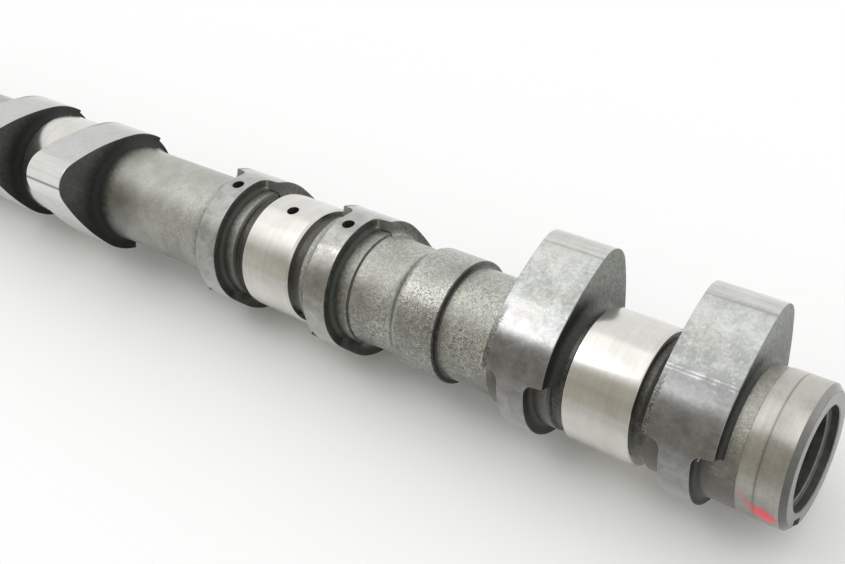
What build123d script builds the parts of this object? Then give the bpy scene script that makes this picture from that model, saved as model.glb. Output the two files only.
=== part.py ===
from build123d import *
import math
import os

# An overhead camshaft for an inline four with four valves a cylinder, cast in one piece.
# The axis is X. X = 0 is the shoulder that the drive sprocket seats on, and X grows towards the rear.
# An angle is turned about +X from +Y towards +Z. All sizes are in millimetres and degrees.

# Cylinders and lobe phasing
cylinder_pitch = 87.0
firing_order = (1, 3, 4, 2)
first_lobe_angle = 225.0

# Bearing journals, each between the two lobes of a cylinder
journal_diameter = 28.0
journal_width = 14.6
journal_chamfer = 0.5

# Lobes
lobe_spacing = 35.0
lobe_width = 14.0
base_circle_radius = 16.0
lobe_lift = 8.9
nose_radius = 6.4
flank_radius = 55.0
lobe_edge_break = 0.3

# The lobe's sides are cast back behind its base circle, down to a low ring round the shaft
base_land_width = 6.2
recess_half_angle = 75.0
recess_corner_radius = 2.4
ring_diameter = 26.8
ring_width = 14.8

# Cast shaft between the lobes
shaft_diameter = 25.0
cast_flare = 1.0
collar_cylinder = 3
collar_diameter = 27.8
collar_width = 10.7
collar_front_slope = 1.8

# Rear end: a cast neck, then a turned nose with a bore and a drive slot
rear_overhang = 37.3
nose_diameter = 28.0
nose_length = 9.2
neck_step = 0.2
nose_chamfer = 1.1
mouth_diameter = 20.4
mouth_depth = 1.8
rear_bore_diameter = 18.4
rear_bore_depth = 12.0
drill_point_angle = 118.0
slot_width = 4.0
slot_depth = 3.5
slot_floor_radius = 11.4

# Front end: thrust flange, thrust journal, and the seat and bolt hole for the sprocket
flange_diameter = 38.0
flange_width = 7.0
flange_chamfer = 0.8
thrust_journal_diameter = 34.0
thrust_journal_width = 30.0
front_neck_length = 14.0
seat_diameter = 24.0
seat_length = 14.0
seat_chamfer = 1.0
bolt_hole_diameter = 10.8
bolt_hole_depth = 30.0
bolt_hole_chamfer = 1.0

# Oil ways
gallery_diameter = 10.0
oiled_cylinder = 3
oil_hole_diameter = 2.9
oil_hole_lag_angle = 128.0

# How far a cutter runs past the metal it cuts
cut_overrun = 1.0

# Worked out from the sizes above
journal_radius = journal_diameter / 2
shaft_radius = shaft_diameter / 2
ring_radius = ring_diameter / 2
collar_radius = collar_diameter / 2
nose_offset = base_circle_radius + lobe_lift - nose_radius
first_journal_x = flange_width + thrust_journal_width + front_neck_length + (lobe_spacing + lobe_width) / 2
rear_face_x = first_journal_x + (len(firing_order) - 1) * cylinder_pitch + rear_overhang
lobe_tip_radius = nose_offset + nose_radius
neck_radius = nose_diameter / 2 - neck_step


def journal_x(cylinder):
    return first_journal_x + (cylinder - 1) * cylinder_pitch


def lobe_angle(cylinder):
    return first_lobe_angle + 360.0 / len(firing_order) * firing_order.index(cylinder)


def lobe_centres(cylinder):
    return [journal_x(cylinder) - lobe_spacing / 2, journal_x(cylinder) + lobe_spacing / 2]


def polar(radius, angle):
    return (radius * math.cos(math.radians(angle)), radius * math.sin(math.radians(angle)))


def cam_outline():
    """Base circle, two convex flanks and the nose, all tangent, with the nose on +Y."""
    base_reach = flank_radius - base_circle_radius
    nose_reach = flank_radius - nose_radius
    centre_along = (base_reach**2 - nose_reach**2 + nose_offset**2) / (2 * nose_offset)
    centre_across = math.sqrt(base_reach**2 - centre_along**2)
    base_touch = (-centre_along * base_circle_radius / base_reach,
                  centre_across * base_circle_radius / base_reach)
    nose_touch = (nose_offset + (nose_offset - centre_along) * nose_radius / nose_reach,
                  centre_across * nose_radius / nose_reach)
    flank_turn = (math.atan2(base_touch[1] + centre_across, base_touch[0] - centre_along)
                  + math.atan2(nose_touch[1] + centre_across, nose_touch[0] - centre_along)) / 2
    flank_middle = (centre_along + flank_radius * math.cos(flank_turn),
                    flank_radius * math.sin(flank_turn) - centre_across)
    flip = lambda point: (point[0], -point[1])
    edges = [
        ThreePointArc(flip(nose_touch), (lobe_tip_radius, 0), nose_touch),
        ThreePointArc(nose_touch, flank_middle, base_touch),
        ThreePointArc(base_touch, (-base_circle_radius, 0), flip(base_touch)),
        ThreePointArc(flip(base_touch), flip(flank_middle), flip(nose_touch)),
    ]
    return make_face(edges)


def recess_cutter():
    """The space cast away on the +X side of a lobe, behind its base circle."""
    outer_radius = base_circle_radius + cut_overrun
    start, end = 180 - recess_half_angle, 180 + recess_half_angle
    edges = [
        Line(polar(shaft_radius, start), polar(outer_radius, start)),
        ThreePointArc(polar(outer_radius, start), (-outer_radius, 0), polar(outer_radius, end)),
        Line(polar(outer_radius, end), polar(shaft_radius, end)),
        ThreePointArc(polar(shaft_radius, end), (-shaft_radius, 0), polar(shaft_radius, start)),
    ]
    depth = (lobe_width - base_land_width) / 2 + cut_overrun
    cutter = extrude(Plane.YZ.offset(base_land_width / 2) * make_face(edges), depth)
    deep_edges = cutter.edges().filter_by_position(Axis.X, base_land_width / 2, base_land_width / 2)
    return fillet(deep_edges.filter_by(GeomType.LINE), recess_corner_radius)


def lobe():
    """One lobe, centred on X = 0, with its nose on +Y."""
    blank = extrude(Plane.YZ * cam_outline(), lobe_width / 2, both=True)
    ends = blank.edges().filter_by_position(Axis.X, -lobe_width / 2, -lobe_width / 2)
    ends += blank.edges().filter_by_position(Axis.X, lobe_width / 2, lobe_width / 2)
    blank = chamfer(ends, lobe_edge_break)
    cutter = recess_cutter()
    return blank - cutter - mirror(cutter, Plane.YZ)


def lobe_ring(centre):
    """The low ring under a lobe, flared down to the shaft on each side."""
    half = ring_width / 2
    return [(centre - half - cast_flare, shaft_radius), (centre - half, ring_radius),
            (centre + half, ring_radius), (centre + half + cast_flare, shaft_radius)]


def journal_outline(cylinder):
    """A ground journal with a relief groove, down to the shaft, on each side."""
    front = journal_x(cylinder) - journal_width / 2
    rear = front + journal_width
    edge_radius = journal_radius - journal_chamfer
    return [(front, shaft_radius), (front, edge_radius), (front + journal_chamfer, journal_radius),
            (rear - journal_chamfer, journal_radius), (rear, edge_radius), (rear, shaft_radius)]


def front_outline():
    """Sprocket seat, thrust flange and thrust journal, from the front face to the shaft."""
    flange_radius = flange_diameter / 2
    journal_rear = flange_width + thrust_journal_width
    thrust_radius = thrust_journal_diameter / 2
    seat_radius = seat_diameter / 2
    return [
        (-seat_length, 0), (-seat_length, seat_radius - seat_chamfer),
        (-seat_length + seat_chamfer, seat_radius), (0, seat_radius),
        (0, flange_radius - flange_chamfer), (flange_chamfer, flange_radius),
        (flange_width - flange_chamfer, flange_radius), (flange_width, flange_radius - flange_chamfer),
        (flange_width, thrust_radius), (journal_rear - journal_chamfer, thrust_radius),
        (journal_rear, thrust_radius - journal_chamfer), (journal_rear, shaft_radius),
    ]


def collar_outline():
    middle = journal_x(collar_cylinder) + cylinder_pitch / 2
    half = collar_width / 2
    return [(middle - half - collar_front_slope, shaft_radius), (middle - half, collar_radius),
            (middle + half, collar_radius), (middle + half, shaft_radius)]


def rear_outline():
    """The last lobe's ring, which runs on into the cast neck, then the turned nose."""
    nose_outer = nose_diameter / 2
    nose_front = rear_face_x - nose_length
    ring = lobe_ring(lobe_centres(len(firing_order))[-1])
    neck_front = ring[2][0] - ring_radius + neck_radius
    return ring[:2] + [
        (neck_front, ring_radius), (ring[2][0], neck_radius), (nose_front, neck_radius),
        (nose_front + neck_step, nose_outer), (rear_face_x - nose_chamfer, nose_outer),
        (rear_face_x, nose_outer - nose_chamfer), (rear_face_x, 0),
    ]


def shaft():
    """Everything turned or cast round the axis, from the front face to the rear face."""
    points = front_outline()
    for cylinder in range(1, len(firing_order) + 1):
        front_lobe, rear_lobe = lobe_centres(cylinder)
        points += lobe_ring(front_lobe)
        points += journal_outline(cylinder)
        if cylinder < len(firing_order):
            points += lobe_ring(rear_lobe)
        if cylinder == collar_cylinder:
            points += collar_outline()
    points += rear_outline()
    return revolve(make_face(Polyline(points, close=True)), Axis.X)


def lobes():
    plain_lobe = lobe()
    return [Pos(centre, 0, 0) * Rot(lobe_angle(cylinder), 0, 0) * plain_lobe
            for cylinder in range(1, len(firing_order) + 1)
            for centre in lobe_centres(cylinder)]


def bores():
    """Everything bored along the axis: bolt hole, oil gallery and the stepped bore at the rear."""
    bolt_radius = bolt_hole_diameter / 2
    gallery_radius = gallery_diameter / 2
    rear_radius = rear_bore_diameter / 2
    mouth_radius = mouth_diameter / 2
    bore_floor_x = rear_face_x - rear_bore_depth
    cone = 1 / math.tan(math.radians(drill_point_angle / 2))
    bolt_floor_x = bolt_hole_depth - seat_length
    points = [
        (-seat_length, 0), (-seat_length, bolt_radius + bolt_hole_chamfer),
        (-seat_length + bolt_hole_chamfer, bolt_radius), (bolt_floor_x, bolt_radius),
        (bolt_floor_x + (bolt_radius - gallery_radius) * cone, gallery_radius),
        (bore_floor_x - (rear_radius - gallery_radius) * cone, gallery_radius),
        (bore_floor_x, rear_radius), (rear_face_x - mouth_depth, rear_radius),
        (rear_face_x - mouth_depth, mouth_radius), (rear_face_x, mouth_radius), (rear_face_x, 0),
    ]
    return revolve(make_face(Polyline(points, close=True)), Axis.X)


def oil_holes():
    """Radial holes into the gallery, through both lobes and the journal of one cylinder."""
    angle = lobe_angle(oiled_cylinder) + oil_hole_lag_angle
    drill = extrude(Circle(oil_hole_diameter / 2), base_circle_radius + cut_overrun)
    front_lobe, rear_lobe = lobe_centres(oiled_cylinder)
    return [Pos(x, 0, 0) * Rot(angle - 90, 0, 0) * drill
            for x in (front_lobe, journal_x(oiled_cylinder), rear_lobe)]


def drive_slot():
    """Slot across the rim of the rear face, opposite the noses of the last cylinder's lobes."""
    reach = nose_diameter / 2 + cut_overrun
    cutter = Box(slot_depth + cut_overrun, reach - slot_floor_radius, slot_width,
                 align=(Align.MIN, Align.MIN, Align.CENTER))
    return (Pos(rear_face_x - slot_depth, 0, 0) * Rot(lobe_angle(len(firing_order)) + 180, 0, 0)
            * Pos(0, slot_floor_radius, 0) * cutter)


def camshaft():
    body = shaft() + lobes()
    return body - bores() - oil_holes() - drive_slot()


os.makedirs("parts", exist_ok=True)
export_step(camshaft(), "parts/camshaft.step")
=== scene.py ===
import math

import bmesh
import bpy
from mathutils import Euler, Matrix, Vector


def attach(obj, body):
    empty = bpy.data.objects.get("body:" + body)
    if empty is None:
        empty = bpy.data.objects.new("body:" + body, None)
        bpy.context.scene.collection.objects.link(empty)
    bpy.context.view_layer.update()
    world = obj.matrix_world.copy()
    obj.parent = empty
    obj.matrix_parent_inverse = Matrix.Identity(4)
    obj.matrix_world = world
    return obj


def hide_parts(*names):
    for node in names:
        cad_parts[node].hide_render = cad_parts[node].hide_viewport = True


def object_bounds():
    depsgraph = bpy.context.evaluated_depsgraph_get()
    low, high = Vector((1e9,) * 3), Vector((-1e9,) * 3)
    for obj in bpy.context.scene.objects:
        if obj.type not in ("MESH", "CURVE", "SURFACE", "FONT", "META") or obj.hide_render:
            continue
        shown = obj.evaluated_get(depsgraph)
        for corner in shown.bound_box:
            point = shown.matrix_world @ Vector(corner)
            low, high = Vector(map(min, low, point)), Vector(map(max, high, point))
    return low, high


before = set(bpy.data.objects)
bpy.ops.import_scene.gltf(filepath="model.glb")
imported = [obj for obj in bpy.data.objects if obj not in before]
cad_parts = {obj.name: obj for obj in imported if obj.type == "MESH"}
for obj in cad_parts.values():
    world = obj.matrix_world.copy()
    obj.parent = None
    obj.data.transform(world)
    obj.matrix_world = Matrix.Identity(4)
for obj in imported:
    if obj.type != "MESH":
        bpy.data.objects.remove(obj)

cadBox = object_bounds()

# the parts are laid out in millimetres from the sprocket shoulder, +X towards the rear,
# and in degrees from +Y towards +Z
layout = {
    "pitch": 87.0,
    "firstJournal": 75.5,
    "cylinders": 4,
    "firingOrder": (1, 3, 4, 2),
    "firstAngle": 225.0,
    "lobeSpacing": 35.0,
    "rearFace": 373.8,
    "oiledCylinder": 3,
    "collarBehind": 3,    # a cylinder too
}
meshing = {
    "millimetre": 0.001,
    "bevelSegments": 6,
    "spinGap": 1e-5,      # points closer than this are merged, in millimetres
    "cutGap": 2e-6,       # the same after a cut, in metres
    "creaseAngle": 38,
}
cylinders = range(1, layout["cylinders"] + 1)
halfSpacing = layout["lobeSpacing"] / 2


def journalX(cylinder):
    return layout["firstJournal"] + (cylinder - 1) * layout["pitch"]


def lobeAngle(cylinder):
    place = layout["firingOrder"].index(cylinder)
    return layout["firstAngle"] + 360 / layout["cylinders"] * place


def spunOutline(corners, steps):
    # corners are (x, radius, rounding) and go round a closed outline, which is spun round X
    bm = bmesh.new()
    verts = [bm.verts.new((x, 0, radius)) for x, radius, rounding in corners]
    for here, there in zip(verts, verts[1:] + verts[:1]):
        bm.edges.new((here, there))
    for size in sorted({rounding for x, radius, rounding in corners if rounding}):
        chosen = [vert for vert, corner in zip(verts, corners) if corner[2] == size]
        bmesh.ops.bevel(bm, geom=chosen, offset=size, offset_type="OFFSET",
                        segments=meshing["bevelSegments"], profile=0.5,
                        affect="VERTICES", material=-1)
    bmesh.ops.spin(bm, geom=bm.verts[:] + bm.edges[:], cent=(0, 0, 0), axis=(1, 0, 0),
                   dvec=(0, 0, 0), angle=math.tau, steps=steps, use_merge=True,
                   use_duplicate=False)
    bmesh.ops.remove_doubles(bm, verts=bm.verts[:], dist=meshing["spinGap"])
    bmesh.ops.recalc_face_normals(bm, faces=bm.faces[:])
    return bm


def turnRoundX(bm, angle):
    bmesh.ops.rotate(bm, cent=(0, 0, 0), matrix=Matrix.Rotation(math.radians(angle), 3, "X"),
                     verts=bm.verts[:])


def toMetres(bm):
    bmesh.ops.scale(bm, vec=(meshing["millimetre"],) * 3, verts=bm.verts[:])


def addObject(name, data):
    made = bpy.data.objects.new(name, data)
    bpy.context.scene.collection.objects.link(made)
    return made


def addMesh(bm, name, materials):
    mesh = bpy.data.meshes.new(name)
    bm.to_mesh(mesh)
    bm.free()
    for material in materials:
        mesh.materials.append(material)
    return addObject(name, mesh)


def shadeSmooth(piece, creaseAngle):
    piece.data.shade_smooth()
    piece.data.set_sharp_from_angle(angle=math.radians(creaseAngle))
    evenNormals = piece.modifiers.new("evenNormals", "WEIGHTED_NORMAL")
    evenNormals.keep_sharp = True


def finishPiece(bm, name, materials, creaseAngle=meshing["creaseAngle"]):
    toMetres(bm)
    piece = addMesh(bm, name, materials)
    shadeSmooth(piece, creaseAngle)
    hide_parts("camshaft")
    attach(piece, "root")
    return piece


def cutAway(piece, cutterBm, wallMaterial):
    # takes the cutter out of a finished piece and keeps the result as its mesh
    toMetres(cutterBm)
    bmesh.ops.recalc_face_normals(cutterBm, faces=cutterBm.faces[:])
    cutter = addMesh(cutterBm, "cutter", [wallMaterial])
    piece.modifiers.remove(piece.modifiers["evenNormals"])
    cut = piece.modifiers.new("cut", "BOOLEAN")
    cut.operation = "DIFFERENCE"
    cut.solver = "EXACT"
    cut.material_mode = "TRANSFER"
    cut.object = cutter
    bpy.context.view_layer.update()
    evaluated = piece.evaluated_get(bpy.context.evaluated_depsgraph_get())
    cutMesh = bpy.data.meshes.new_from_object(evaluated)
    bm = bmesh.new()
    bm.from_mesh(cutMesh)
    bmesh.ops.remove_doubles(bm, verts=bm.verts[:], dist=meshing["cutGap"])
    bmesh.ops.dissolve_degenerate(bm, edges=bm.edges[:], dist=meshing["cutGap"])
    bm.to_mesh(cutMesh)
    bm.free()
    piece.modifiers.clear()
    piece.data = cutMesh
    shadeSmooth(piece, meshing["creaseAngle"])
    cutterMesh = cutter.data
    bpy.data.objects.remove(cutter)
    bpy.data.meshes.remove(cutterMesh)


class Value:
    # a shader socket that can be used in sums
    def __init__(self, finish, socket):
        self.finish = finish
        self.socket = socket

    def maths(self, operation, *operands):
        inputs = dict(enumerate(operands))
        return self.finish.node("ShaderNodeMath", {"operation": operation}, inputs)["Value"]

    def __add__(self, other):
        return self.maths("ADD", self, other)

    def __radd__(self, other):
        return self.maths("ADD", other, self)

    def __sub__(self, other):
        return self.maths("SUBTRACT", self, other)

    def __rsub__(self, other):
        return self.maths("SUBTRACT", other, self)

    def __mul__(self, other):
        return self.maths("MULTIPLY", self, other)

    def __truediv__(self, other):
        return self.maths("DIVIDE", self, other)

    def power(self, exponent):
        return self.maths("POWER", self, exponent)

    def distance(self):
        return self.maths("ABSOLUTE", self)

    def turnOver(self, other):
        return self.maths("ARCTAN2", self, other)

    def pingPong(self, half):
        # runs up to half and back down again
        return self.maths("PINGPONG", self, half)

    def highest(self, other):
        return self.maths("MAXIMUM", self, other)

    def clamped(self):
        return self.finish.node("ShaderNodeClamp", {}, {"Value": self})["Result"]

    def smooth(self, low, high):
        # 0 below low, 1 above high, eased between
        return self.finish.node("ShaderNodeMapRange", {"interpolation_type": "SMOOTHSTEP"},
                                {"Value": self, "From Min": low, "From Max": high})["Result"]

    def varied(self, share):
        # a noise, swung about zero
        return (self - 0.5) * share


class Nodes:
    def __init__(self, tree):
        self.tree = tree

    def node(self, kind, settings, inputs):
        made = self.tree.nodes.new(kind)
        for key, setting in settings.items():
            setattr(made, key, setting)
        shown = [socket for socket in made.inputs if socket.enabled]
        byName = {socket.name: socket for socket in reversed(shown)}
        for key, given in inputs.items():
            self.feed(shown[key] if isinstance(key, int) else byName[key], given)
        return {socket.name: Value(self, socket) for socket in made.outputs if socket.enabled}

    def feed(self, socket, given):
        if isinstance(given, Value):
            self.tree.links.new(given.socket, socket)
        elif isinstance(given, tuple) and socket.type == "RGBA":
            socket.default_value = (*given, 1)
        else:
            socket.default_value = given

    def noise(self, vector, scale=1.0, detail=2.0, roughness=0.5, distortion=0.0):
        return self.node("ShaderNodeTexNoise", {}, {
            "Vector": vector, "Scale": scale, "Detail": detail, "Roughness": roughness,
            "Distortion": distortion})["Fac"]

    def mixed(self, factor, first, second, blend="MIX"):
        return self.node("ShaderNodeMix", {"data_type": "RGBA", "blend_type": blend}, {
            "Factor": factor, "A": first, "B": second})["Result"]


class Finish(Nodes):
    def __init__(self, name):
        self.material = bpy.data.materials.new(name)
        self.material.use_nodes = True
        super().__init__(self.material.node_tree)
        self.shader = self.tree.nodes["Principled BSDF"]
        place = self.node("ShaderNodeTexCoord", {}, {})["Object"]
        # in millimetres, as in the layout above
        self.place = self.node("ShaderNodeVectorMath", {"operation": "SCALE"}, {
            "Vector": place, "Scale": 1 / meshing["millimetre"]})["Vector"]
        parts = self.node("ShaderNodeSeparateXYZ", {}, {"Vector": self.place})
        self.x, self.y, self.z = parts["X"], parts["Y"], parts["Z"]

    def radius(self):
        return (self.y * self.y + self.z * self.z).power(0.5)

    def fromJournal(self):
        # distance along X from the nearest journal's middle
        return (self.x - layout["firstJournal"]).pingPong(layout["pitch"] / 2)

    def stretched(self, along, around):
        # the place with its X drawn out by one factor and its Y and Z by another
        return self.node("ShaderNodeMapping", {"vector_type": "POINT"}, {
            "Vector": self.place, "Scale": (along, around, around)})["Vector"]

    def wheelLines(self):
        # wheel lines run round the part, so they change fast along X and slowly round it
        return self.noise(self.stretched(along=6.0, around=0.12), detail=4.0, roughness=0.7)

    def bump(self, height, strength, distance):
        return self.node("ShaderNodeBump", {}, {
            "Height": height, "Strength": strength, "Distance": distance})["Normal"]

    def surface(self, **sockets):
        for name, given in sockets.items():
            self.feed(self.shader.inputs[name.replace("_", " ")], given)
        return self.material


# noise scales are per millimetre, a share says how far a noise swings the tone, and a pair
# gives where a blend starts and where it is full
castLook = {
    "grain": 3.1, "coarse": 0.36, "coarseShare": 0.3,
    "cloud": 0.13, "cloudShare": 0.8, "contrast": 4.2,
    "patchCloud": (0.38, 0.6), "patchLow": 0.5, "patchGain": 0.7,
    "frontShare": 0.25, "frontX": (190, 320),      # the grain is fainter towards the front
    "middle": 0.38, "crown": 0.026,                # painted light: paler upwards
    "dark": (0.06, 0.064, 0.054), "pale": (0.56, 0.56, 0.5),
    "metallic": 0.75, "roughness": 0.34, "roughVary": 0.3,
    "bump": 0.35, "bumpDepth": 0.0005, "coat": 0.4, "coatRoughness": 0.3,
    "greaseAndShade": 0.85, "greaseAndShadeColour": (0.045, 0.048, 0.04), "greaseAndShadeX": (3.2, 8.2), "ragged": 2.5,
    "spread": 5, "spreadX": (190, 230),            # the grease and painted shade reach further at the front half
    "ringEdge": (10.55, 10.95), "ringGreaseAndShade": 1.1,
}
neckUnderside = {"colour": (0.1, 0.088, 0.078), "z": (0, 11), "ragged": 12, "depth": 0.8,
             "flatten": 0.7}
sideLook = dict(
    castLook, grain=2.3, contrast=7.0, middle=0.36, dark=(0.022, 0.024, 0.02),
    pale=(0.24, 0.25, 0.215), metallic=0.5, roughness=0.42, coat=0.25, greaseAndShade=0.93,
    greaseAndShadeColour=(0.022, 0.022, 0.02), greaseAndShadeRadius=(14.0, 19.0), ragged=3,
    cleanAndLitY=(0, 10), cleanAndLitShare=0.5,                # less grease and lighter painted shade at the back, where the light falls
    footBeyond=(24.4, 25.6), footRadius=(12.8, 14.8), footFrom=(232, 240), footTo=(335, 345))
sideChanges = {
    1: {"middle": 0.4},
    # cylinder 2's sides are made darkest: painted shade
    2: {"middle": 0.05, "pale": (0.12, 0.12, 0.11), "greaseAndShadeColour": (0.01, 0.01, 0.01),
        "roughness": 0.65, "metallic": 0.2, "coat": 0.0},
    3: {"middle": 0.2, "greaseAndShadeColour": (0.038, 0.043, 0.034)},
    4: {"greaseAndShadeRadius": (15.0, 19.5)},
}


def shaftGreaseAndShade(finish, look, coarse):
    # grease and scale gather, with painted shade, where the shaft meets a lobe and in the grooves
    # by the journals
    fromJournal = finish.fromJournal()
    spread = (1 - finish.x.smooth(*look["spreadX"])) * look["spread"]
    fromLobe = (fromJournal - halfSpacing).distance() - spread
    greaseAndShade = 1 - (fromLobe + coarse.varied(look["ragged"])).smooth(*look["greaseAndShadeX"])
    return greaseAndShade.highest((1 - fromJournal.smooth(*look["ringEdge"])) * look["ringGreaseAndShade"])


def sideGreaseAndShade(finish, look, coarse):
    # on a lobe's sides the same grease and painted shade gather down at the foot
    greaseAndShade = 1 - (finish.radius() + coarse.varied(look["ragged"])).smooth(*look["greaseAndShadeRadius"])
    # the grease and painted shade are eased on the side towards +Y
    return greaseAndShade * (1 - finish.y.smooth(*look["cleanAndLitY"]) * look["cleanAndLitShare"])


def shaftAtFoot(finish, look, grit, colour):
    # towards the middle of the part, a foot on the open side runs out into the shaft's skin
    foot = finish.fromJournal().smooth(*look["footBeyond"])
    foot = foot * (1 - finish.radius().smooth(*look["footRadius"]))
    foot = foot * finish.x.smooth(*look["footFrom"]) * (1 - finish.x.smooth(*look["footTo"]))
    # painted light: paler upwards, as on the shaft's skin
    skin = grit * castLook["contrast"] + castLook["middle"] + finish.z * castLook["crown"]
    return finish.mixed(foot, colour,
                        finish.mixed(skin.clamped(), castLook["dark"], castLook["pale"]))


def castSkin(name, look):
    # blasted sand-cast skin: sharp grains and dark pits over slow clouds of tone
    finish = Finish(name)
    grain = finish.noise(finish.place, look["grain"], detail=3.0, roughness=0.7)
    coarseScale = look["grain"] * look["coarse"]
    coarse = finish.noise(finish.place, coarseScale, detail=3.0, roughness=0.6)
    cloud = finish.noise(finish.place, look["cloud"], detail=4.0, roughness=0.6)
    height = grain * (1 - look["coarseShare"]) + coarse * look["coarseShare"]
    front = finish.x.smooth(*look["frontX"]) * (1 - look["frontShare"]) + look["frontShare"]
    patchy = cloud.smooth(*look["patchCloud"]) * look["patchGain"] + look["patchLow"]
    grit = (height - 0.5) * patchy * front
    tone = grit * look["contrast"] + cloud.varied(look["cloudShare"])
    # painted light: the skin is paler upwards and darker underneath
    tone = tone + look["middle"] + finish.z * look["crown"]
    colour = finish.mixed(tone.clamped(), look["dark"], look["pale"])
    onSide = "greaseAndShadeRadius" in look
    greaseAndShade = sideGreaseAndShade(finish, look, coarse) if onSide else shaftGreaseAndShade(finish, look, coarse)
    # grease and painted shade darken the skin where the shaft meets the lobes and down at the
    # lobes' feet
    colour = finish.mixed(greaseAndShade * look["greaseAndShade"], colour, look["greaseAndShadeColour"])
    if onSide:
        colour = shaftAtFoot(finish, look, grit, colour)
    if "stain" in look:
        # darker, browner and smoother towards the underside
        stain = look["stain"]
        underShare = 1 - (finish.z + cloud.varied(stain["ragged"])).smooth(*stain["z"])
        colour = finish.mixed(underShare * stain["depth"], colour, stain["colour"])
        height = height * (1 - underShare * stain["flatten"])
    roughness = look["roughness"] + grain.varied(look["roughVary"])
    return finish.surface(
        Base_Color=colour, Metallic=look["metallic"], Roughness=roughness.clamped(),
        Coat_Weight=look["coat"], Coat_Roughness=look["coatRoughness"],
        Normal=finish.bump(height, look["bump"], look["bumpDepth"]))


castIron = castSkin("castIron", castLook)
wetCollar = castSkin("wetCollar", dict(
    castLook, contrast=4.0, pale=(0.5, 0.5, 0.455), greaseAndShade=0.0, metallic=0.95, roughness=0.11,
    roughVary=0.08, bump=0.3, coat=0.3))
# a near-black wet finish for the grooves and steep walls: grease and painted shade
greaseAndShadeGroove = castSkin("greaseAndShadeGroove", dict(
    castLook, middle=0.3, dark=(0.008, 0.009, 0.008), pale=(0.12, 0.115, 0.105), greaseAndShade=0.0,
    metallic=0.9, roughness=0.18, coat=0.5, coatRoughness=0.2))
castNeck = castSkin("castNeck", dict(
    castLook, contrast=2.6, middle=0.42, pale=(0.46, 0.45, 0.4), greaseAndShadeX=(4.5, 9.0),
    stain=neckUnderside))
# a paler cast finish for the upper walls at the recesses' ends: painted light
litRecessEnd = castSkin("litRecessEnd", dict(
    castLook, contrast=2.6, pale=(0.4, 0.41, 0.36), greaseAndShade=0.0))
rawSides = {cylinder: castSkin(f"rawSide{cylinder}", {**sideLook, **change})
            for cylinder, change in sideChanges.items()}


paintDab = {
    "x": 364.6, "radius": 14.0, "turn": -0.17, "slant": 0.66,   # radians
    "length": 9.2, "halfWidth": 1.65, "thinEnd": 0.35, "swell": (0.25, 0.75),
    "start": (0.0, 0.08), "end": (0.92, 1.04), "edge": (0.75, 1.15),
    "roughEdge": 1.3, "ragged": 0.9,
    "thin": 0.3, "thick": 0.65, "thicken": (0.2, 0.7), "colour": (0.86, 0.07, 0.1),
}


def paintCover(finish, dab):
    # a tapering dab, laid out along X and round the part
    turn = (0 - finish.z).turnOver(0 - finish.y)   # radians past the -Y side, towards -Z
    across, along = (turn - dab["turn"]) * dab["radius"], finish.x - dab["x"]
    c, s = math.cos(dab["slant"]), math.sin(dab["slant"])
    stroke = (along * c + across * s) / dab["length"]
    ragged = finish.noise(finish.place, dab["roughEdge"], detail=3.0, roughness=0.6)
    off = (across * c - along * s).distance() + ragged.varied(dab["ragged"])
    halfWidth = stroke.smooth(*dab["swell"]) * dab["halfWidth"] + dab["thinEnd"]
    inside = 1 - (off / halfWidth).smooth(*dab["edge"])
    inside = inside * stroke.smooth(*dab["start"]) * (1 - stroke.smooth(*dab["end"]))
    return inside * (stroke.smooth(*dab["thicken"]) * dab["thick"] + dab["thin"])


def groundFinish(name, look):
    finish = Finish(name)
    bands = finish.noise(finish.stretched(*look["bands"]))
    cloud = finish.noise(finish.place, look["cloud"], detail=4.0, roughness=0.62, distortion=0.4)
    specks = finish.noise(finish.place, look["specks"], detail=3.0, roughness=0.7)
    tone = cloud.varied(look["cloudShare"]) + bands.varied(look["bandShare"])
    # painted light: paler upwards and darker underneath
    tone = tone + specks.varied(look["speckShare"]) + 0.5 + finish.z * look["crown"]
    colour = finish.mixed(tone.clamped(), look["dark"], look["pale"])
    if "paint" in look:
        paint = look["paint"]
        colour = finish.mixed(paintCover(finish, paint), colour, paint["colour"])
    if "line" in look:
        line = look["line"]
        scribed = 1 - (finish.x - line["x"]).distance().smooth(*line["edge"])
        colour = finish.mixed(scribed * line["depth"], colour, look["dark"])
    # painted shade: the chamfer is darkened on its -Y side, above the bottom
    if "soot" in look:
        soot = look["soot"]
        sooty = 1 - (finish.y + cloud.varied(soot["raggedY"])).smooth(*soot["y"])
        sooty = sooty * (finish.z + cloud.varied(soot["raggedZ"])).smooth(*soot["z"])
        colour = finish.mixed(sooty * soot["depth"], colour, soot["colour"])
    roughness = look["roughness"] + cloud.varied(look["roughVary"])
    roughness = roughness + specks.varied(look["speckRough"])
    return finish.surface(
        Base_Color=colour, Metallic=1.0, Roughness=roughness.clamped(),
        Coat_Weight=look["coat"], Coat_Roughness=look["coatRoughness"],
        Normal=finish.bump(finish.wheelLines(), look["bump"], look["bumpDepth"]))


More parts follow.
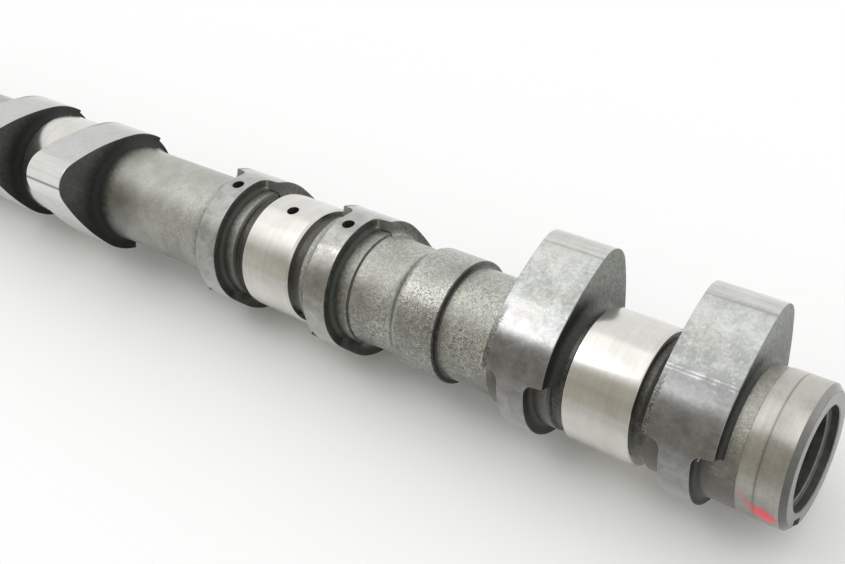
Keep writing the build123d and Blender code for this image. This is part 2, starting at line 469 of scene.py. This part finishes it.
groundLook = {
    "bands": (0.9, 0.02), "specks": 1.7, "speckRough": 0.12, "crown": 0.0,
    "roughness": 0.3, "roughVary": 0.12, "coat": 0.3, "coatRoughness": 0.12,
    "bumpDepth": 0.00002,
}
groundJournal = groundFinish("groundJournal", dict(
    groundLook, cloud=0.16, cloudShare=0.9, bandShare=0.6, speckShare=0.12,
    dark=(0.56, 0.545, 0.49), pale=(0.79, 0.785, 0.755),
    roughness=0.19, roughVary=0.06, coat=0.0, bump=0.1))
turnedNose = groundFinish("turnedNose", dict(
    groundLook, cloud=0.13, cloudShare=1.5, bandShare=0.7, speckShare=0.3, crown=0.032,
    dark=(0.16, 0.152, 0.148), pale=(0.5, 0.485, 0.44), roughness=0.27, bump=0.5,
    line={"x": 368.1, "depth": 0.6, "edge": (0.08, 0.3)}, paint=paintDab))
turnedEdge = groundFinish("turnedEdge", dict(
    groundLook, cloud=0.3, cloudShare=1.2, bandShare=0.4, speckShare=0.6, crown=0.01,
    dark=(0.16, 0.16, 0.15), pale=(0.34, 0.34, 0.31), bump=0.3,
    # painted shade on the chamfer's -Y side
    soot={"colour": (0.015, 0.015, 0.018), "depth": 0.6, "y": (-9, 1), "raggedY": 3,
          "z": (-11, -6), "raggedZ": 4}))
noseFace = groundFinish("noseFace", dict(
    groundLook, cloud=0.22, cloudShare=1.6, bandShare=0.0, speckShare=0.8,
    dark=(0.09, 0.09, 0.085), pale=(0.24, 0.24, 0.22), coat=0.4, bump=0.2))


# turns are in degrees from the nose, which is polished; the flanks are mottled, and the base
# circle is smooth satin
lobeLook = {
    "noseTurn": (11, 15), "noseRagged": 5, "baseTurn": (53, 58), "baseRagged": 4,
    "mottle": 0.34, "mottleShare": 2.3, "noseEven": 0.7,
    "specks": 1.5, "speckShare": 1.6, "speckLow": 0.3,
    "streaks": (0.05, 1.1), "streakShare": 1.6, "streakLow": 0.2,
    "flankTone": 0.3, "flankFade": 0.75, "fadeTurn": (15, 55),
    "stepTurn": 13, "stepEdge": (0.1, 0.9), "stepDepth": 0.45,
    "dark": (0.29, 0.3, 0.285), "pale": (0.55, 0.56, 0.54),
    "noseDark": (0.44, 0.44, 0.415), "nosePale": (0.74, 0.74, 0.7),
    "baseDark": (0.19, 0.185, 0.185), "basePale": (0.36, 0.36, 0.35),
    "crown": 0.0, "crownZ": 8,
    "lineEdge": (0.3, 1.3), "lineDepth": 0.75, "lineColour": (0.1, 0.1, 0.09),
    "tint": 0.12, "tintSpan": (0.4, 0.6), "straw": (1.0, 0.985, 0.965), "blue": (0.978, 0.99, 1.0),
    # painted highlights: glints in the specks, and lines at the base circle's edge
    "glint": 0.8, "glintSpan": (0.66, 0.74), "glintColour": (0.85, 0.86, 0.84),
    "edgeLine": 0.0, "edgeTurn": 57.5, "edgeHalf": 1.2, "edgeFade": (0.2, 1.0),
    "edgeMottle": (0.36, 0.58),
    "castGrain": 2.1, "castMargin": (0.6, 1.4), "castRagged": 2.5, "castTurn": (50, 75),
    "castContrast": 2.6, "castMiddle": 0.4,
    "castDark": (0.05, 0.052, 0.045), "castPale": (0.36, 0.36, 0.32),
    "roughness": 0.24, "noseRoughness": 0.13, "roughVary": 0.3, "roughLow": 0.3,
    "speckRough": 0.2, "castRough": 0.2,
    "bump": 0.3, "bumpDepth": 0.0001, "coat": 0.6, "coatRoughness": 0.16,
    "mottleHeight": 0.6, "lineHeight": 0.1, "speckHeight": 0.3, "castHeight": 3,
}
lobeChanges = {
    1: {"dark": (0.36, 0.37, 0.35), "pale": (0.5, 0.51, 0.49)},
    2: {"dark": (0.46, 0.465, 0.45), "pale": (0.55, 0.555, 0.54),
        "noseDark": (0.6, 0.6, 0.58), "noseRoughness": 0.07, "noseLine": 4.5,
        "baseDark": (0.38, 0.385, 0.37), "basePale": (0.5, 0.505, 0.49)},
    3: {"baseDark": (0.27, 0.275, 0.255), "basePale": (0.47, 0.47, 0.445), "crown": 0.022,
        "roughness": 0.12, "bump": 0.9, "coatRoughness": 0.1},
    "lobe4Rear": {"edgeLine": 0.45},
}


def lobeFinish(name, frontFace, noseAngle, look):
    finish = Finish(name)
    c, s = math.cos(math.radians(noseAngle)), math.sin(math.radians(noseAngle))
    along, across = finish.y * c + finish.z * s, finish.z * c - finish.y * s
    signedTurn = across.turnOver(along) * math.degrees(1)
    turn = signedTurn.distance()
    mottle = finish.noise(finish.place, look["mottle"], detail=5.0, roughness=0.68, distortion=0.5)
    specks = finish.noise(finish.place, look["specks"], detail=3.0, roughness=0.75)
    streaks = finish.noise(finish.stretched(*look["streaks"]), detail=3.0, roughness=0.6)
    polish = 1 - (turn + mottle.varied(look["noseRagged"])).smooth(*look["noseTurn"])
    base = (turn + mottle.varied(look["baseRagged"])).smooth(*look["baseTurn"])
    flank = (1 - polish) * (1 - base)

    mottled = mottle.varied(look["mottleShare"]) * (1 - polish * look["noseEven"])
    speckled = specks.varied(look["speckShare"])
    speckled = speckled * (flank * (1 - look["speckLow"]) + look["speckLow"])
    streaked = streaks.varied(look["streakShare"]) * (polish + look["streakLow"])
    # painted light: the flank is paler towards the nose and darker towards the base circle
    paintedFlankLight = flank * (look["flankTone"] - turn.smooth(*look["fadeTurn"]) * look["flankFade"])
    step = 1 - (turn - look["stepTurn"]).distance().smooth(*look["stepEdge"])
    tone = mottled + speckled + streaked + 0.5 + paintedFlankLight - step * look["stepDepth"]

    # painted light: the base circle is paler upwards
    paintedTopRise = (finish.z - look["crownZ"]) * look["crown"]
    colour = finish.mixed(tone.clamped(), look["dark"], look["pale"])
    satin = finish.mixed((tone + paintedTopRise).clamped(), look["baseDark"], look["basePale"])
    worn = finish.mixed(tone.clamped(), look["noseDark"], look["nosePale"])
    colour = finish.mixed(polish, finish.mixed(base, colour, satin), worn)
    if "noseLine" in look:
        line = 1 - (signedTurn - look["noseLine"]).distance().smooth(*look["lineEdge"])
        colour = finish.mixed(line * look["lineDepth"], colour, look["lineColour"])
    # a faint straw and blue tint drifts over the metal
    drift = finish.noise(finish.place, look["tint"]).smooth(*look["tintSpan"])
    tint = finish.mixed(drift, look["straw"], look["blue"])
    colour = finish.mixed(1.0, colour, tint, "MULTIPLY")
    # painted highlights: bright glints in the specks, and bright highlight lines where the flank
    # meets the base circle
    glint = flank * specks.smooth(*look["glintSpan"]) * look["glint"]
    fromEdge = ((turn - look["edgeTurn"]).distance() - look["edgeHalf"]).distance()
    edgeLine = (1 - fromEdge.smooth(*look["edgeFade"])) * look["edgeLine"]
    edgeLine = edgeLine * mottle.smooth(*look["edgeMottle"])
    colour = finish.mixed(glint.highest(edgeLine), colour, look["glintColour"])
    # the margin beside the groove in front was left as cast
    grain = finish.noise(finish.place, look["castGrain"], detail=3.0, roughness=0.7)
    inward = finish.x - frontFace + grain.varied(look["castRagged"])
    cast = (1 - inward.smooth(*look["castMargin"])) * turn.smooth(*look["castTurn"])
    castTone = grain.varied(look["castContrast"]) + look["castMiddle"]
    castColour = finish.mixed(castTone.clamped(), look["castDark"], look["castPale"])
    colour = finish.mixed(cast, colour, castColour)

    roughness = polish * (look["noseRoughness"] - look["roughness"]) + look["roughness"]
    roughness = roughness + mottle.varied(look["roughVary"]) * (flank + look["roughLow"])
    roughness = roughness + specks.varied(look["speckRough"]) * flank + cast * look["castRough"]
    wave = mottle * look["mottleHeight"] + finish.wheelLines() * look["lineHeight"]
    wave = wave + specks * flank * look["speckHeight"] + grain * cast * look["castHeight"]
    return finish.surface(
        Base_Color=colour, Metallic=1.0, Roughness=roughness.clamped(),
        Coat_Weight=look["coat"], Coat_Roughness=look["coatRoughness"],
        Normal=finish.bump(wave, look["bump"], look["bumpDepth"]))


boreLook = {
    "rings": (4.0, 0.1), "ringShare": 0.3, "stain": 0.5, "stainShare": 0.7,
    "dark": (0.05, 0.051, 0.056), "pale": (0.3, 0.3, 0.275),
    "metallic": 0.8, "roughness": 0.3, "roughVary": 0.2, "bump": 0.5, "bumpDepth": 0.00004,
}


def boreFinish(name, look):
    finish = Finish(name)
    rings = finish.noise(finish.stretched(*look["rings"]), detail=3.0, roughness=0.7)
    stain = finish.noise(finish.place, look["stain"], detail=3.0, roughness=0.6)
    tone = stain * look["stainShare"] + rings * look["ringShare"]
    colour = finish.mixed(tone.clamped(), look["dark"], look["pale"])
    return finish.surface(
        Base_Color=colour, Metallic=look["metallic"],
        Roughness=look["roughness"] + stain * look["roughVary"],
        Normal=finish.bump(rings, look["bump"], look["bumpDepth"]))


darkBore = boreFinish("darkBore", boreLook)
print("finishes made")


castShaft = {
    "radius": 12.5,
    "ringRadius": 13.4,
    "ringHalf": 7.4,
    "ringFlare": 0.4,
    "ringStep": 0.3,
    "shoulderRadius": 12.95,
    "shoulderRun": 4.5,
    "ringRounding": (0.25, 0.2, 0.15, 0.1, 1.5),   # from the groove out to the shaft
    "collarX": 293.0,
    "collarRadius": 13.9,
    "collarHalf": 5.35,
    "collarSlope": 1.8,
    "collarRounding": (1.2, 0.8, 0.45, 0.6),
    "galleryRadius": 5.0,
    "frontX": 36.5,
    "neckRadius": 13.8,
    "neckRise": (4.9, 4.4),                        # ahead of the last ring's open end
    "neckEndX": 364.9,
    "neckRounding": 0.1,
    "boreCone": 2.6,
    "boreRounding": 0.3,
    "insideShare": 0.8,                            # within this share of the radius is bore
    "neckSkinFrom": 3,                             # behind the middle of the last lobe
    "skinMargin": 0.1,
    "collarMargin": 0.2,
    "steepNormal": 0.35,                           # a wall faces this far along X
    "wallByCollar": 1,
    "wallsBeyond": 10,
    "steps": 160,
}


def ringUnderLobe(centre, openSide, size):
    # the journal's side drops steeply to the groove, the open side over a low shoulder
    half = size["ringHalf"]
    places = [(-half - size["ringFlare"], size["radius"]), (-half, size["ringRadius"]),
              (half, size["ringRadius"]), (half + size["ringStep"], size["shoulderRadius"]),
              (half + size["shoulderRun"], size["radius"])]
    points = [(openSide * x, radius, rounding)
              for (x, radius), rounding in zip(places, size["ringRounding"])]
    return [(centre + x, radius, rounding) for x, radius, rounding in points[::openSide]]


def collarOnShaft(size):
    front, rear = size["collarX"] - size["collarHalf"], size["collarX"] + size["collarHalf"]
    places = [(front - size["collarSlope"], size["radius"]), (front, size["collarRadius"]),
              (rear, size["collarRadius"]), (rear, size["radius"])]
    return [(x, radius, rounding)
            for (x, radius), rounding in zip(places, size["collarRounding"])]


def rearOfShaft(size, nose):
    # the last ring runs into the neck, and the bore cones down to the oil gallery
    ring = ringUnderLobe(journalX(layout["cylinders"]) + halfSpacing, 1, size)
    ringEnd = ring[2][0]
    lowX, highX = (ringEnd - before for before in size["neckRise"])
    return ring[:2] + [
        (lowX, size["ringRadius"], size["neckRounding"]),
        (highX, size["neckRadius"], size["neckRounding"]),
        (size["neckEndX"], size["neckRadius"], 0), (size["neckEndX"], nose["boreRadius"], 0),
        (nose["boreFloorX"], nose["boreRadius"], size["boreRounding"]),
        (nose["boreFloorX"] - size["boreCone"], size["galleryRadius"], 0)]


def shaftSkin(face, size):
    # the finish that a face of the cast shaft takes
    middle = face.calc_center_median()
    out = middle.yz.length
    fromJournal = min(abs(middle.x - journalX(cylinder)) for cylinder in cylinders)
    pastLast = middle.x - journalX(layout["cylinders"])
    onLastRings = (abs(abs(pastLast) - halfSpacing) < size["ringHalf"]
                   and out > size["ringRadius"] - size["skinMargin"])
    onNeck = pastLast > halfSpacing + size["neckSkinFrom"] and out > size["radius"]
    if onLastRings or onNeck:
        return castNeck
    if out < size["radius"] * size["insideShare"]:
        return darkBore
    # the grooves by the journals take the dark groove finish: grease and painted shade
    if fromJournal < halfSpacing - size["ringHalf"] + size["skinMargin"]:
        return greaseAndShadeGroove
    fromCollar = middle.x - size["collarX"]
    byCollar = abs(fromCollar - size["collarHalf"]) < size["wallByCollar"]
    # walls that face along X, by the collar's rear and far from the collar, take the dark groove
    # finish: painted shade
    if abs(face.normal.x) > size["steepNormal"]:
        if byCollar or abs(fromCollar) > size["wallsBeyond"]:
            return greaseAndShadeGroove
    collarReach = size["collarHalf"] + size["collarSlope"]
    if abs(fromCollar) < collarReach and out > size["radius"] + size["collarMargin"]:
        return wetCollar
    return castIron


def makeCastShaft(size, nose):
    outline = [(size["frontX"], size["galleryRadius"], 0), (size["frontX"], size["radius"], 0)]
    for cylinder in cylinders:
        outline += ringUnderLobe(journalX(cylinder) - halfSpacing, -1, size)
        if cylinder < layout["cylinders"]:
            outline += ringUnderLobe(journalX(cylinder) + halfSpacing, 1, size)
        if cylinder == layout["collarBehind"]:
            outline += collarOnShaft(size)
    bm = spunOutline(outline + rearOfShaft(size, nose), size["steps"])
    skins = [castIron, wetCollar, greaseAndShadeGroove, darkBore, castNeck]
    for face in bm.faces:
        face.material_index = skins.index(shaftSkin(face, size))
    return finishPiece(bm, "castShaft", skins)


rearNose = {
    "frontX": 364.6,
    "frontEdge": (0.2, 0.3),     # along X and outwards
    "radius": 14.0,
    "chamfer": 1.1,
    "chamferRounding": 0.1,
    "mouthRadius": 10.2,
    "mouthDepth": 1.8,
    "mouthEdge": 0.2,
    "boreRadius": 9.2,
    "boreEdge": 0.3,
    "boreFloorX": 361.8,
    "slotWidth": 4.0,
    "slotDepth": 3.5,
    "slotFloorRadius": 11.4,
    "slotReach": 6,
    "boreMargin": 0.05,          # how far each finish laps past the edge it ends at
    "faceMargin": 0.1,
    "chamferMargin": 0.02,
    "steps": 160,
}


def noseSkin(face, size):
    middle = face.calc_center_median()
    fromEnd = layout["rearFace"] - middle.x
    if middle.yz.length < size["mouthRadius"] + size["boreMargin"]:
        return darkBore
    if fromEnd < size["faceMargin"]:
        return noseFace
    if fromEnd < size["chamfer"] + size["chamferMargin"]:
        return turnedEdge
    return turnedNose


def makeRearNose(size):
    end, front, radius = layout["rearFace"], size["frontX"], size["radius"]
    mouthFloor = end - size["mouthDepth"]
    edgeRun, edgeDrop = size["frontEdge"]
    bm = spunOutline([
        (front, size["boreRadius"], 0), (front, radius - edgeDrop, 0),
        (front + edgeRun, radius, 0), (end - size["chamfer"], radius, size["chamferRounding"]),
        (end, radius - size["chamfer"], size["chamferRounding"]),
        (end, size["mouthRadius"] + size["mouthEdge"], 0),
        (end - size["mouthEdge"], size["mouthRadius"], 0),
        (mouthFloor, size["mouthRadius"], size["mouthEdge"]),
        (mouthFloor, size["boreRadius"] + size["boreEdge"], 0),
        (mouthFloor - size["boreEdge"], size["boreRadius"], 0)], size["steps"])
    skins = [turnedNose, darkBore, noseFace, turnedEdge]
    for face in bm.faces:
        face.material_index = skins.index(noseSkin(face, size))
    nose = finishPiece(bm, "rearNose", skins)
    slot = bmesh.new()
    bmesh.ops.create_cube(slot, size=1)
    bmesh.ops.scale(slot, vec=(size["slotDepth"] * 2, size["slotReach"], size["slotWidth"]),
                    verts=slot.verts[:])
    bmesh.ops.translate(slot, vec=(end, size["slotFloorRadius"] + size["slotReach"] / 2, 0),
                        verts=slot.verts[:])
    turnRoundX(slot, lobeAngle(layout["cylinders"]) + 180)
    cutAway(nose, slot, darkBore)


shaft = makeCastShaft(castShaft, rearNose)
makeRearNose(rearNose)
print("shaft and nose made")


journal = {
    "radius": 14.0, "width": 14.6, "edge": 0.5, "innerRadius": 11.5,
    "creaseAngle": 60, "steps": 160,
}


def makeJournal(cylinder, size):
    front, rear = (journalX(cylinder) + sign * size["width"] / 2 for sign in (-1, 1))
    radius, edge, inner = size["radius"], size["edge"], size["innerRadius"]
    bm = spunOutline([
        (front, inner, 0), (front, radius - edge, 0), (front + edge, radius, 0),
        (rear - edge, radius, 0), (rear, radius - edge, 0), (rear, inner, 0)], size["steps"])
    return finishPiece(bm, f"journal{cylinder}", [groundJournal], size["creaseAngle"])


thrustEnd = {
    "seatRadius": 12.0, "seatLength": 14.0, "seatEdge": 1.0, "seatRounding": 0.3,
    "flangeRadius": 19.0, "flangeWidth": 7.0, "flangeEdge": 0.8,
    "journalRadius": 17.0, "journalEndX": 37.0, "journalEdge": 0.5, "journalRounding": 0.4,
    "boltRadius": 5.4, "boltEdge": 1.0, "boltDepth": 30.0, "boltCone": 0.3,
    "steps": 176,
}


def makeThrustEnd(size):
    face, end = -size["seatLength"], size["journalEndX"]
    boltFloor, gallery = face + size["boltDepth"], castShaft["galleryRadius"]
    rim = size["flangeRadius"] - size["flangeEdge"]
    bm = spunOutline([
        (face, size["boltRadius"] + size["boltEdge"], 0),
        (face, size["seatRadius"] - size["seatEdge"], 0),
        (face + size["seatEdge"], size["seatRadius"], 0),
        (0, size["seatRadius"], size["seatRounding"]),
        (0, rim, 0), (size["flangeEdge"], size["flangeRadius"], 0),
        (size["flangeWidth"] - size["flangeEdge"], size["flangeRadius"], 0),
        (size["flangeWidth"], rim, 0),
        (size["flangeWidth"], size["journalRadius"], size["journalRounding"]),
        (end - size["journalEdge"], size["journalRadius"], 0),
        (end, size["journalRadius"] - size["journalEdge"], 0),
        (end, gallery, 0), (boltFloor + size["boltCone"], gallery, 0),
        (boltFloor, size["boltRadius"], 0),
        (face + size["boltEdge"], size["boltRadius"], 0)], size["steps"])
    finishPiece(bm, "thrustEnd", [turnedNose])


# a foot is the radius that a side's fillet meets, and the fillet's size
lobe = {
    "baseRadius": 16.0, "lift": 8.9, "noseRadius": 6.4, "flankRadius": 55.0,
    "halfWidth": 7.0, "edge": 0.18, "belowEdge": 0.5,
    "halfLand": 3.1, "recessHalf": 75.0, "recessCorner": 2.4,
    "innerRadius": 11.0, "sunk": 0.05,
    "foot": (12.45, 2.4), "recessFoot": (13.3, 1.2), "neckFoot": (13.75, 1.4),
    "skinEdge": 0.7, "skinMargin": 0.02,     # how much of the edge takes the skin's finish
    "wallNormal": 0.75, "wallAbove": 0.6,
    "middleHalf": 1, "filletMargin": 0.01,
    "columns": 360,
}


def camRadius(turn, size):
    # distance from the axis to the cam's outline, turn degrees from the nose
    base, tip, flank = size["baseRadius"], size["noseRadius"], size["flankRadius"]
    noseCentre = base + size["lift"] - tip
    along = ((flank - base) ** 2 - (flank - tip) ** 2 + noseCentre ** 2) / (2 * noseCentre)
    across = math.sqrt((flank - base) ** 2 - along ** 2)
    baseTouch = math.degrees(math.atan2(across, -along))
    noseTouch = math.degrees(math.atan2(
        across * tip, noseCentre * (flank - tip) + (noseCentre - along) * tip))
    turn = abs((turn + 180) % 360 - 180)
    c, s = math.cos(math.radians(turn)), math.sin(math.radians(turn))
    if turn >= baseTouch:
        return base
    if turn <= noseTouch:
        return c * noseCentre + math.sqrt(tip ** 2 - (s * noseCentre) ** 2)
    reach = c * along - s * across
    return reach + math.sqrt(reach ** 2 - along ** 2 - across ** 2 + flank ** 2)


def sideSetBack(turn, size):
    # how far the lobe's side stands back from its full width, turn degrees from the nose
    inside = size["recessHalf"] - abs(turn % 360 - 180)
    if inside <= 0:
        return 0.0
    depth = size["halfWidth"] - size["halfLand"]
    arc = math.radians(inside) * size["baseRadius"]
    corner = size["recessCorner"]
    if arc >= corner:
        return depth
    return depth - corner + math.sqrt(corner ** 2 - (corner - arc) ** 2)


def lobeSide(foot, size):
    half, edge, base = size["halfWidth"], size["edge"], size["baseRadius"]
    floor, fillet = foot
    sunk = half + fillet + size["sunk"]
    return [(sunk, size["innerRadius"], 0), (sunk, floor, 0), (half, floor, fillet),
            (half, base - edge - size["belowEdge"], 0), (half, base, edge)]


def shapeLobe(bm, feet, size):
    # draws the spun disc out to the cam's outline and sets its sides back at the recess
    half, base, margin = size["halfWidth"], size["baseRadius"], size["filletMargin"]
    top, depth = base - size["edge"] - size["belowEdge"], half - size["halfLand"]
    for vert in bm.verts:
        turn = math.degrees(math.atan2(vert.co.z, vert.co.y))
        radius, beyond = vert.co.yz.length, max(abs(vert.co.x) - half, 0)
        floor, fillet = feet[int(math.copysign(1, vert.co.x))]
        share = min(max((radius - floor - fillet) / (top - floor - fillet), 0), 1)
        reach = radius + (camRadius(turn, size) - base) * share
        setBack = sideSetBack(turn, size) if abs(vert.co.x) > size["middleHalf"] else 0
        if setBack:
            # a smaller fillet meets the ring here, or the neck where that stands higher
            recessFloor, recessFillet = max(size["recessFoot"], (floor, fillet))
            shrink, deep = recessFillet / fillet, setBack / depth
            if size["innerRadius"] + margin < radius < floor + fillet + margin:
                reach += (recessFloor + (radius - floor) * shrink - radius) * deep
            beyond *= 1 + (shrink - 1) * deep
            vert.co.x = math.copysign(min(abs(vert.co.x), half) + beyond - setBack, vert.co.x)
        vert.co.y *= reach / radius
        vert.co.z *= reach / radius


def makeLobe(cylinder, place, size):
    name, angle = f"lobe{cylinder}{place}", lobeAngle(cylinder)
    centre = journalX(cylinder) + {"Front": -1, "Rear": 1}[place] * halfSpacing
    half, depth = size["halfWidth"], size["halfWidth"] - size["halfLand"]
    byNeck = cylinder == layout["cylinders"] and place == "Rear"
    feet = {-1: size["foot"], 1: size["neckFoot"] if byNeck else size["foot"]}
    front = [(-x, radius, rounding) for x, radius, rounding in reversed(lobeSide(feet[-1], size))]
    bm = spunOutline(lobeSide(feet[1], size) + front, size["columns"])
    skinIndex, sideIndex, litWallIndex = range(3)   # in the list of materials below
    for face in bm.faces:
        middle = face.calc_center_median()
        outer = middle.yz.length > size["baseRadius"] - size["edge"] * size["skinEdge"]
        onSkin = outer and abs(middle.x) < half - size["skinMargin"]
        face.material_index = skinIndex if onSkin else sideIndex
    shapeLobe(bm, feet, size)
    turnRoundX(bm, angle)
    bm.normal_update()
    for face in bm.faces:
        # the upper wall at a recess's end takes a paler finish without the grease and painted
        # shade: painted light, where it faces up
        middle = face.calc_center_median()
        turn = math.degrees(math.atan2(middle.z, middle.y)) - angle
        wall = (0 < sideSetBack(turn, size) < depth and abs(face.normal.x) < size["wallNormal"]
                and middle.yz.length > size["recessFoot"][0] + size["wallAbove"])
        if wall and middle.z > 0 and face.material_index == sideIndex:
            face.material_index = litWallIndex
    bmesh.ops.translate(bm, vec=(centre, 0, 0), verts=bm.verts[:])
    look = {**lobeLook, **lobeChanges.get(cylinder, {}), **lobeChanges.get(name, {})}
    skin = lobeFinish(name + "Skin", centre - half, angle, look)
    return finishPiece(bm, name, [skin, rawSides[cylinder], litRecessEnd])


oilHole = {
    "radius": 1.45,
    "lag": 128.0,      # degrees behind the noses
    "floor": 4.2,      # the drill's tip is this far from the axis
    "above": 2,
    "sides": 40,
}


def drillOilHole(piece, x, surface, size):
    drill = bmesh.new()
    top = surface + size["above"]
    bmesh.ops.create_cone(drill, cap_ends=True, segments=size["sides"], radius1=size["radius"],
                          radius2=size["radius"], depth=top - size["floor"])
    bmesh.ops.translate(drill, vec=(0, 0, (top + size["floor"]) / 2), verts=drill.verts[:])
    angle = lobeAngle(layout["oiledCylinder"]) + size["lag"]
    turnRoundX(drill, angle - 90)   # the cone is made along +Z
    bmesh.ops.translate(drill, vec=(x, 0, 0), verts=drill.verts[:])
    cutAway(piece, drill, darkBore)


makeThrustEnd(thrustEnd)
for cylinder in cylinders:
    middle = makeJournal(cylinder, journal)
    front, rear = (makeLobe(cylinder, place, lobe) for place in ("Front", "Rear"))
    if cylinder == layout["oiledCylinder"]:
        x = journalX(cylinder)
        drillOilHole(middle, x, journal["radius"], oilHole)
        for piece, place in ((front, x - halfSpacing), (rear, x + halfSpacing)):
            drillOilHole(piece, place, lobe["baseRadius"], oilHole)
        for place in (x - halfSpacing, x, x + halfSpacing):
            drillOilHole(shaft, place, lobe["baseRadius"], oilHole)
print("journals and lobes made, oil holes drilled")


# lengths here are in metres; the room is laid out by direction, from -1 to 1 along each axis
studio = {
    "floorColour": (0.95, 0.955, 0.95),
    "floorMottle": 0.05,
    "floorDim": 0.98,
    "floorRoughness": 0.6,
    "floorSize": 4.0,
    "floorX": 0.2,
    "partMiddle": 0.18,
    "partHalf": 0.17,
    "fade": (0.0, 0.11),         # the floor gives way this far from the part
    "backWall": (1.03, 1.04, 1.03),
    "frontWall": (0.47, 0.45, 0.4),
    "frontFloor": (0.6, 0.6, 0.58),
    "frontX": (-0.78, -0.66),
    "frontY": (-0.6, -0.28),
    "frontHorizon": (-0.1, 0.0),
    "railHeight": 0.44,          # two thin dark rails over a dim shelf
    "railHalfGap": 0.016,
    "railEdge": (0.003, 0.011),
    "railDepth": 0.55,
    "railY": (-0.5, -0.3),
    "railColour": (0.08, 0.075, 0.03),
    "shelfFrom": (0.22, 0.25),
    "shelfTo": (0.4, 0.42),
    "shelfDepth": 0.12,
    "patchMiddle": (-0.39, 0.05),
    "patchHalf": (0.29, 0.4),
    "patchEdge": (0.8, 1.15),
    "patchHeight": (0.4, 0.6),
    "glow": 0.42,
    "lampPlace": (-0.28, -0.24, 1.05),
    "lampAim": (0.33, 0, 0),
    "lampSize": (0.48, 0.24),
    "lampWatts": 1.2,
}


def makeFloor(size):
    finish = Finish("paleFloor")
    pale = size["floorColour"]
    mottle = finish.noise(finish.place, size["floorMottle"], detail=3.0, roughness=0.6)
    sheet = finish.mixed(mottle, tuple(part * size["floorDim"] for part in pale), pale)
    finish.surface(Base_Color=sheet, Roughness=size["floorRoughness"])
    # far from the part the floor gives way to the studio's own brightness
    x, y = finish.x * meshing["millimetre"], finish.y * meshing["millimetre"]
    past = ((x - size["partMiddle"]).distance() - size["partHalf"]).highest(0.0)
    away = (past * past + y * y).power(0.5).smooth(*size["fade"])
    sheetShader = Value(finish, finish.shader.outputs["BSDF"])
    clear = finish.node("ShaderNodeBsdfTransparent", {}, {})["BSDF"]
    mix = finish.node("ShaderNodeMixShader", {}, {0: away, 1: sheetShader, 2: clear})["Shader"]
    finish.feed(finish.tree.nodes["Material Output"].inputs["Surface"], mix)
    bm = bmesh.new()
    bmesh.ops.create_grid(bm, x_segments=1, y_segments=1, size=size["floorSize"] / 2)
    bmesh.ops.translate(bm, vec=(size["floorX"], 0, cadBox[0].z), verts=bm.verts[:])
    floor = addMesh(bm, "floor", [finish.material])


def makeLamp(size):
    light = bpy.data.lights.new("softbox", "AREA")
    light.shape = "RECTANGLE"
    light.size, light.size_y = size["lampSize"]
    light.energy = size["lampWatts"]
    place = Vector(size["lampPlace"])
    aim = (Vector(size["lampAim"]) - place).to_track_quat("-Z", "Y")
    addObject("softbox", light).matrix_world = Matrix.Translation(place) @ aim.to_matrix().to_4x4()


def makeStudioAir(size):
    # pale walls behind, a dimmer room in front, and a lit patch of ceiling
    world = bpy.data.worlds.new("studioAir")
    world.use_nodes = True
    air = Nodes(world.node_tree)
    heading = air.node("ShaderNodeTexCoord", {}, {})["Generated"]
    parts = air.node("ShaderNodeSeparateXYZ", {}, {"Vector": heading})
    x, y, z = parts["X"], parts["Y"], parts["Z"]
    front = (1 - y.smooth(*size["frontY"])) * x.smooth(*size["frontX"])
    frontShade = air.mixed(z.smooth(*size["frontHorizon"]), size["frontFloor"], size["frontWall"])
    fromRails = ((z - size["railHeight"]).distance() - size["railHalfGap"]).distance()
    rails = (1 - fromRails.smooth(*size["railEdge"])) * size["railDepth"]
    shelf = z.smooth(*size["shelfFrom"]) * (1 - z.smooth(*size["shelfTo"])) * size["shelfDepth"]
    rail = rails.highest(shelf) * (1 - y.smooth(*size["railY"]))
    wall = air.mixed(front, size["backWall"], frontShade)
    wall = air.mixed(rail, wall, size["railColour"])
    middleX, middleY = size["patchMiddle"]
    halfX, halfY = size["patchHalf"]
    spread = ((x - middleX).distance() / halfX).highest((y - middleY).distance() / halfY)
    patch = (1 - spread.smooth(*size["patchEdge"])) * z.smooth(*size["patchHeight"]) * size["glow"]
    # the backdrop is plain white to the camera from every side, and the metal mirrors the room
    ray = air.node("ShaderNodeLightPath", {}, {})
    mirrored = ray["Is Glossy Ray"].highest(ray["Is Transmission Ray"]) * (1 - front) * (1 - rail)
    shade = air.mixed(ray["Is Camera Ray"].highest(mirrored), wall, (1.0, 1.0, 1.0))
    strength = 1.0 + patch * (1 - ray["Is Camera Ray"])
    backdrop = air.tree.nodes["Background"]
    air.feed(backdrop.inputs["Color"], shade)
    air.feed(backdrop.inputs["Strength"], strength)
    bpy.context.scene.world = world


makeFloor(studio)
makeLamp(studio)
makeStudioAir(studio)

camera = {
    "place": (0.41384, -0.11319, 0.16848),
    "turn": (45.374, 12.112, 36.523),
    "lens": 46.367,
    "sensorWidth": 36,
    "clipStart": 0.01,
}
lens = bpy.data.cameras.new("camera")
lens.lens = camera["lens"]
lens.sensor_width = camera["sensorWidth"]
lens.clip_start = camera["clipStart"]
viewer = addObject("camera", lens)
viewer.location = camera["place"]
viewer.rotation_euler = Euler([math.radians(angle) for angle in camera["turn"]])
bpy.context.scene.camera = viewer
bpy.context.scene.view_settings.view_transform = "Standard"
print("studio set")
